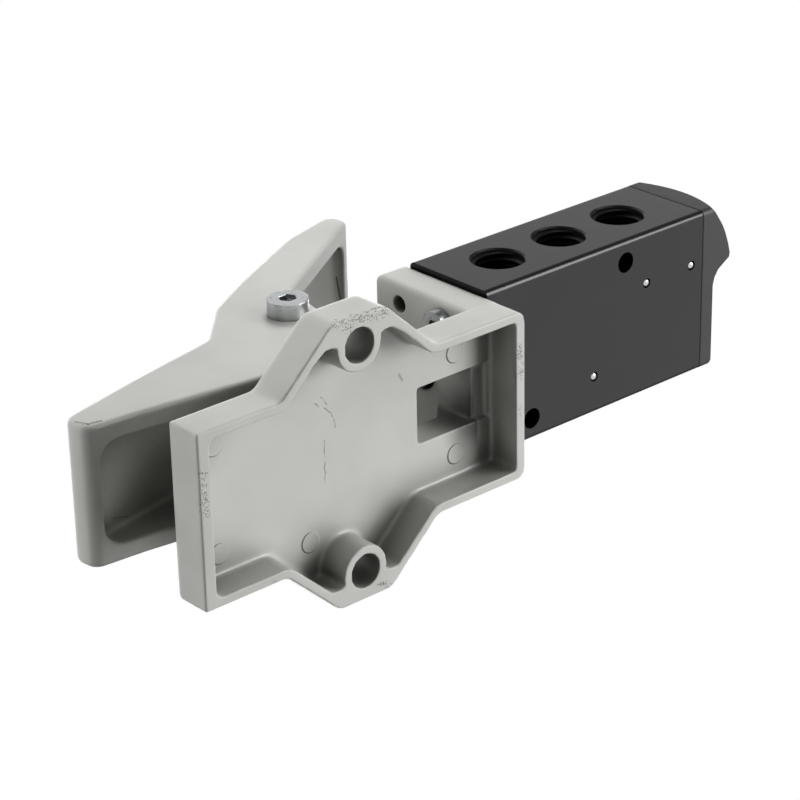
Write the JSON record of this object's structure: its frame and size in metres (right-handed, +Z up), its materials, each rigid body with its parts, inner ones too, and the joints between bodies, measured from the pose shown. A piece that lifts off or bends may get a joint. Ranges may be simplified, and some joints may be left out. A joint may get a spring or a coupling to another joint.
{
  "type": "foot pedal valve",
  "caption": "Rocking foot treadle pivoted on a hollow cast floor base, pushing the spool of a block-shaped air valve with threaded side ports.",
  "frame": {"origin": "midway between the two floor-fixing holes, on the plane of the base's rim", "axes": "+X from the heel end towards the valve's end cap, +Z up from the floor, Y along the pivot axis"},
  "size_m": [0.1962, 0.0706, 0.0862],
  "materials": {
    "casting_paint": "satin light grey paint on a die casting",
    "black_anodised": "satin black anodised",
    "black_plastic": "fine-grained moulding",
    "zinc_steel": "zinc plated",
    "bright_steel": "ground",
    "bronze": "machined",
    "plain_aluminium": "turned",
    "seal_rubber": "moulded"
  },
  "bodies": {
    "frame": {"base": "casting_paint", "bush_left": "bronze", "bush_right": "bronze", "valve_screw_1": "zinc_steel", "valve_screw_2": "zinc_steel", "valve_body": "black_anodised", "ball_1": "bright_steel", "ball_2": "bright_steel", "ball_3": "bright_steel", "guide_bush": "bronze", "wiper_seal": "seal_rubber", "return_spring": "bright_steel", "spring_seat": "bright_steel", "cap_seal": "seal_rubber", "end_cap": "black_plastic", "cap_screw_1": "zinc_steel", "cap_screw_2": "zinc_steel", "cap_screw_3": "zinc_steel", "cap_screw_4": "zinc_steel"},
    "pedal": {"pedal": "casting_paint", "pivot_screw": "zinc_steel", "pivot_washer": "zinc_steel", "pivot_nut": "zinc_steel"},
    "spool": {"plunger": "bright_steel", "spool": "plain_aluminium", "spool_seal_1": "seal_rubber", "spool_seal_2": "seal_rubber", "spool_seal_3": "seal_rubber", "spool_seal_4": "seal_rubber", "spool_seal_5": "seal_rubber", "spool_seal_6": "seal_rubber"}
  },
  "joints": [
    {"name": "pedal_hinge", "type": "hinge", "parent": "frame", "child": "pedal", "pos_m": [0.0159, 0, 0.0444], "axis": [0, -1, 0], "range_deg": [0, 12]},
    {"name": "spool_slide", "type": "slide", "parent": "frame", "child": "spool", "axis": [1, 0, 0], "range_m": [0, 0.00359], "stiffness_N_per_m": 1600, "springref_m": -0.006, "deforming": ["return_spring"]}
  ],
  "couplings": [
    {"joint": "spool_slide", "follows": "pedal_hinge", "m_per_rad": 0.016647}
  ]
}
